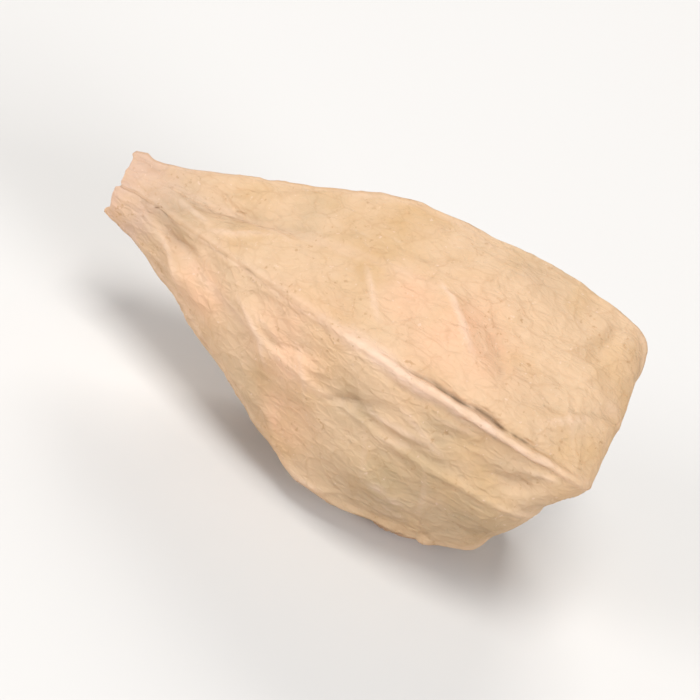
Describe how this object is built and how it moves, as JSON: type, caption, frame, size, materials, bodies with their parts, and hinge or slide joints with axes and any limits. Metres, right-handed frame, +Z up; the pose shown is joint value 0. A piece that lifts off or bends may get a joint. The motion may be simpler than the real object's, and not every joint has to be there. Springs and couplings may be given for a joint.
{
  "type": "physalis berry",
  "caption": "Round orange berry shut in its dry, papery, ribbed husk with a toothed, pointed mouth; lies on its side on a small flat spot.",
  "frame": {"origin": "on the flat spot under the husk's belly, close to straight below the centre of mass", "axes": "+Z up; +X from the husk's mouth towards its stalk end; -Y is the side seen in the picture"},
  "size_m": [0.0492, 0.0283, 0.0269],
  "materials": {
    "husk": "matte",
    "berry": "gloss",
    "stem": "matte"
  },
  "bodies": {
    "root": {"husk": "husk", "berry": "berry", "stem": "stem"}
  },
  "joints": []
}
